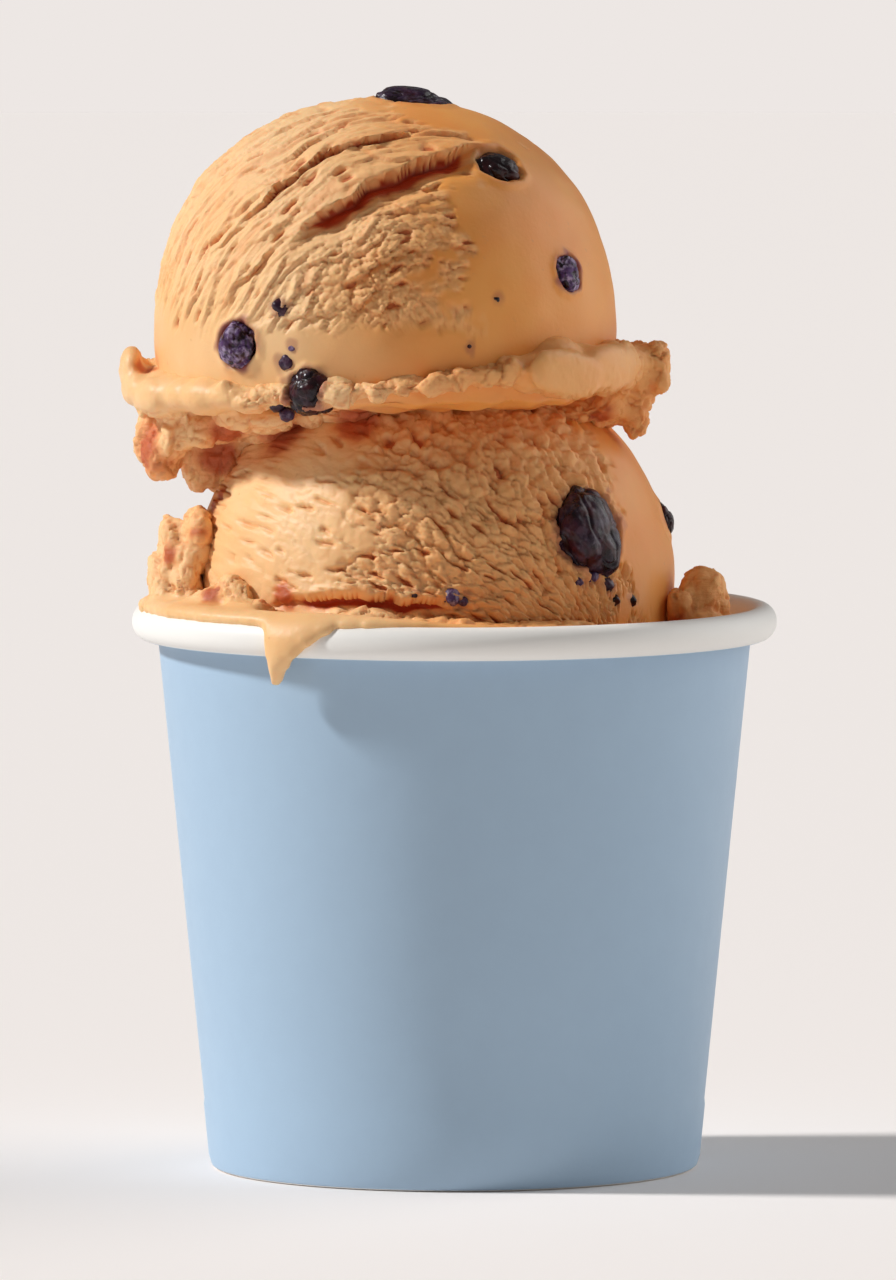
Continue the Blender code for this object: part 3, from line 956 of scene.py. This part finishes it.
def gelatoMaterial():
    # torn gelato is pale and grainy, smooth gelato glossier; the deeper orange is painted shade on the side
    # away from the key lamp, stronger where smooth, and cracks get painted shade and an orange glow
    graph = Graph("caramelGelato", Subsurface_Weight=0.16, Subsurface_Scale=0.002, Specular_IOR_Level=0.4)
    creaseShade = graph.attribute("creaseShade")
    stain = graph.attribute("stain")
    wet = graph.attribute("wet")
    stroke = graph.combine(graph.attribute("along") * 0.22, graph.attribute("across"), 0.0)
    cloud = graph.smooth(graph.noise(0.011, 2.0), 0.3, 0.7)
    torn = graph.mix(cloud, rgb(245, 193, 133), rgb(248, 203, 149))
    # the deeper orange of smooth gelato in shade, used as painted shade on the side away from the lamp
    meltedShadeTone = graph.mix(cloud, rgb(236, 150, 70), rgb(240, 163, 82))
    base = graph.mix(graph.attribute("deep"), torn, meltedShadeTone)
    speck = graph.smooth(graph.noise(0.0016, 3.0, 0.6), 0.66, 0.74)
    base = graph.mix(speck * 0.35, base, rgb(208, 146, 92))
    # painted shade and orange glow: creases and crevices turn orange, the deepest ones dark red
    base = graph.mix(graph.smooth(creaseShade, 0.1, 0.8) * 0.6, base, rgb(228, 134, 68))
    base = graph.mix(graph.smooth(creaseShade, 0.55, 1.0), base, rgb(178, 58, 18))
    base = graph.mix(graph.clamp(stain), base, rgb(152, 74, 70))
    grain = graph.noise(0.0007, 4.0, 0.62)
    combed = graph.noise(0.0008, 3.0, 0.6, stroke)
    normal = graph.bump(combed, 0.00030, (1.0 - wet) * 0.5, graph.bump(grain, 0.00022, 0.55 - wet * 0.35))
    sheen = graph.noise(0.006, 2.0)
    roughness = 0.56 - wet * 0.16 + sheen * 0.12
    return graph.finish(Base_Color=base, Roughness=roughness, Normal=normal)


# ---- paper cup ----

cup = {
    "height": 70.0,
    "rimRadius": 40.0,
    "footRadius": 30.25,
    "wallTopRadius": 36.75,
    "paper": 0.45,
    "rollHeight": 4.2,
    "hemDepth": 1.5,
    "hemHeight": 5.6,
    "bottomZ": 6.5,
    "crimpZ": 8.2,
    "crimp": 0.14,
    "turns": 192,
    "curlEnd": -140,
    "seamBearing": 18,
    "seamWidth": 6.5,
    "blue": rgb(172, 199, 222),
    "white": rgb(247, 245, 240),
    "oval": {"bearing": 90, "halfTurn": 63, "middle": 35.5, "half": 10.0},
}


def wallMiddle(z):
    # radius of the middle of the wall's paper at a height
    slope = (cup["wallTopRadius"] - cup["footRadius"]) / (cup["height"] - cup["rollHeight"])
    return cup["footRadius"] - cup["paper"] / 2 + slope * z


def arc(centre, radii, start, end, steps):
    angles = [math.radians(start + (end - start) * step / steps) for step in range(steps + 1)]
    return [(centre[0] + radii[0] * math.cos(a), centre[1] + radii[1] * math.sin(a)) for a in angles]


def wallLine(settings):
    half = settings["paper"] / 2
    fold = settings["hemDepth"] / 2
    hem = (wallMiddle(settings["hemHeight"]) - settings["hemDepth"], settings["hemHeight"])
    foot = arc((wallMiddle(0) - fold, half + 0.35), (fold, 0.35), -180, 0, 8)
    crimp = settings["crimpZ"]
    line = [hem, *foot]
    line += [(wallMiddle(z) + settings["crimp"], z) for z in (1.6, 4.0, crimp - 0.5)]
    line += [(wallMiddle(z), z) for z in (crimp + 0.3, 20.0, 35.0, 50.0, 60.0)]
    middle = settings["height"] - settings["rollHeight"] / 2
    inner, outer = wallMiddle(middle), settings["rimRadius"] - half
    centre = ((inner + outer) / 2, middle)
    radii = ((outer - inner) / 2, settings["rollHeight"] / 2 - half)
    return line + arc(centre, radii, 180, settings["curlEnd"], 26)


def spinLine(line, turns, start=0.0, sweep=360.0):
    bm = bmesh.new()
    turn = Matrix.Rotation(math.radians(start), 3, "Z")
    verts = [bm.verts.new(turn @ Vector((r * mm, 0, z * mm))) for r, z in line]
    edges = [bm.edges.new(pair) for pair in zip(verts, verts[1:])]
    full = sweep == 360.0
    bmesh.ops.spin(
        bm, geom=verts + edges, axis=up, angle=math.radians(sweep), steps=turns, use_merge=full
    )
    bmesh.ops.remove_doubles(bm, verts=bm.verts[:], dist=0.001 * mm)
    bmesh.ops.recalc_face_normals(bm, faces=bm.faces[:])
    return bm


def thicken(piece, thickness):
    sheet = piece.modifiers.new("paper", "SOLIDIFY")
    sheet.thickness = thickness * mm
    sheet.offset = 0.0
    sheet.use_even_offset = True


def makeCup(settings):
    printed = printedPaper(settings)
    plain = plainPaper(settings)
    cone = spinLine(wallLine(settings), settings["turns"])
    wall = addPiece("cupWall", cone, printed, "paper_wall", "cup_wall")
    thicken(wall, settings["paper"])
    inset = settings["hemDepth"] / 2
    corner = wallMiddle(settings["bottomZ"]) - inset
    line = [(0.0, settings["bottomZ"] - 0.25), (corner * 0.5, settings["bottomZ"] - 0.2)]
    line += [(corner - 1.2, settings["bottomZ"]), *arc((corner - 0.5, 6.0), (0.5, 0.5), 90, 0, 4)]
    line += [(wallMiddle(0.9) - inset, 0.9)]
    bottom = addPiece("cupBottom", spinLine(line, 96), plain, "paper_bottom", "cup_bottom")
    thicken(bottom, settings["paper"])
    sweep = math.degrees(settings["seamWidth"] / settings["wallTopRadius"])
    lap = [(wallMiddle(z) + 0.36, z) for z in (0.5, 8.0, 30.0, 50.0, 65.4)]
    seam = addPiece("cupSeam", spinLine(lap, 8, settings["seamBearing"], sweep), printed, "paper_wall")
    thicken(seam, 0.3)


def printedPaper(settings):
    # white paper with blue print on its outer side, and an oval left white at the back
    graph = Graph("printedPaper", Specular_IOR_Level=0.45)
    x, y, z = [axis / mm for axis in graph.axes()]
    outside = graph.math("SQRT", x * x + y * y)
    slope = wallMiddle(1) - wallMiddle(0)
    beyond = outside - (z * slope + wallMiddle(0))
    belowRoll = z < settings["height"] - settings["rollHeight"] + 0.15
    hemFace = (beyond < -settings["hemDepth"]) * (z < 6.3)
    blue = graph.math("MAXIMUM", (beyond > 0.0) * belowRoll, hemFace)
    oval = settings["oval"]
    turn = graph.math("ARCTAN2", y, x) * (180 / math.pi)
    wide = (turn - oval["bearing"]) / oval["halfTurn"]
    high = (z - oval["middle"]) / oval["half"]
    inOval = (wide * wide + high * high) < 1.0
    mottle = graph.noise(0.004, 3.0, 0.6)
    dye = graph.mix(mottle * 0.5, settings["blue"], rgb(166, 190, 214))
    colour = graph.mix(inOval, dye, settings["white"])
    colour = graph.mix(blue, settings["white"], colour)
    fibre = graph.noise(0.0005, 4.0, 0.65)
    cockle = graph.noise(0.009, 2.0)
    normal = graph.bump(cockle, 0.00016, 0.5, graph.bump(fibre, 0.00003, 0.6))
    roughness = 0.42 + mottle * 0.16
    return graph.finish(Base_Color=colour, Roughness=roughness, Normal=normal)


def plainPaper(settings):
    graph = Graph("plainPaper", Specular_IOR_Level=0.45)
    mottle = graph.noise(0.005, 3.0, 0.6)
    colour = graph.mix(mottle, settings["white"], rgb(240, 237, 230))
    normal = graph.bump(graph.noise(0.0006, 4.0, 0.6), 0.00004, 0.6)
    return graph.finish(Base_Color=colour, Roughness=0.45 + mottle * 0.14, Normal=normal)


# ---- berries' own shape ----


def makeBerry(name, material):
    (across, along, through), turn = berries[name][2:4]
    frost = berries[name][-1]
    centre, out = berryCentre(name)
    seed = 3.7 * int(name[-2:])
    bm = bmesh.new()
    bmesh.ops.create_icosphere(bm, subdivisions=berryShape["fineness"], radius=1.0)
    frosted = bm.verts.layers.float.new("frost")
    creaseShadeLayer = bm.verts.layers.float.new("creaseShade")
    facing = out.to_track_quat("Z", "Y").to_matrix().to_4x4()
    place = Matrix.Translation(centre * mm) @ facing @ Matrix.Rotation(math.radians(turn), 4, "Z")
    sink = through * (1 - 2 * berryShape["sunk"])
    for vert in bm.verts:
        spot = vert.co.copy()
        crease = 1 - ease(abs(noise.noise(spot * 1.5 + Vector((seed, 0, 0)))) / 0.16)
        size = 1.0 + 0.34 * noise.noise(spot * 0.85 + Vector((0, 0, seed))) - 0.05 * crease
        size += 0.10 * noise.noise(spot * 2.2 + Vector((0, seed, 0))) + 0.02 * noise.noise(spot * 7.0)
        spot *= size
        vert.co = Vector((spot.x * across, spot.y * along, spot.z * through + sink)) * mm
        icy = noise.noise(spot * 3.0 + Vector((seed, seed, 0))) + 0.6 * noise.noise(spot * 7.0)
        vert[frosted] = frost * ease(0.55 + 1.1 * icy)
        # painted shade: how much the skin is darkened along its creases
        vert[creaseShadeLayer] = crease
    bmesh.ops.transform(bm, matrix=place, verts=bm.verts[:])
    addPiece(name.replace("berry_", "berry"), bm, material, "berry", name)


def berryMaterial():
    graph = Graph("darkBerry", Specular_IOR_Level=0.32, Subsurface_Weight=0.05, Subsurface_Scale=0.001)
    frost = graph.attribute("frost")
    creaseShade = graph.attribute("creaseShade")
    blush = graph.smooth(graph.noise(0.0022, 2.0), 0.4, 0.75)
    skin = graph.mix(blush, rgb(24, 8, 11), rgb(66, 18, 20))
    # painted shade: the creases are darkened toward black
    skin = graph.mix(creaseShade * 0.5, skin, rgb(14, 5, 8))
    icy = graph.smooth(graph.noise(0.0010, 3.0, 0.6), 0.45, 0.62)
    bloom = graph.mix(icy, rgb(92, 62, 112), rgb(180, 160, 194))
    skin = graph.mix(frost, skin, bloom)
    normal = graph.bump(graph.noise(0.0006, 3.0, 0.6), 0.00012, 0.5)
    return graph.finish(Base_Color=skin, Roughness=0.24 + frost * 0.4 + blush * 0.1, Normal=normal)


def makeBits(material):
    bm = bmesh.new()
    frosted = bm.verts.layers.float.new("frost")
    bm.verts.layers.float.new("creaseShade")
    for number, (scoop, direction, size, frost) in enumerate(bits):
        centre = bitCentre(scoop, direction, size)
        found = bmesh.ops.create_icosphere(bm, subdivisions=3, radius=1.0)
        for vert in found["verts"]:
            spot = vert.co * (1 + 0.3 * noise.noise(vert.co * 1.3 + Vector((5.1 * number, 0, 0))))
            vert.co = (centre + spot * size) * mm
            vert[frosted] = frost
    bmesh.ops.recalc_face_normals(bm, faces=bm.faces[:])
    addPiece("berryBits", bm, material, "berry")


gelato = gelatoMaterial()
makeBall(upperBall, gelato, "scoop_upper")
makeSkirt(gelato)
makeBall(lowerBall, gelato, "scoop_lower")
makeBank(gelato)
makeFill(gelato)
print("gelato is shaped")
makeCup(cup)
print("cup is folded")
berrySkin = berryMaterial()
for name in berries:
    makeBerry(name, berrySkin)
makeBits(berrySkin)
print("berries are set in")
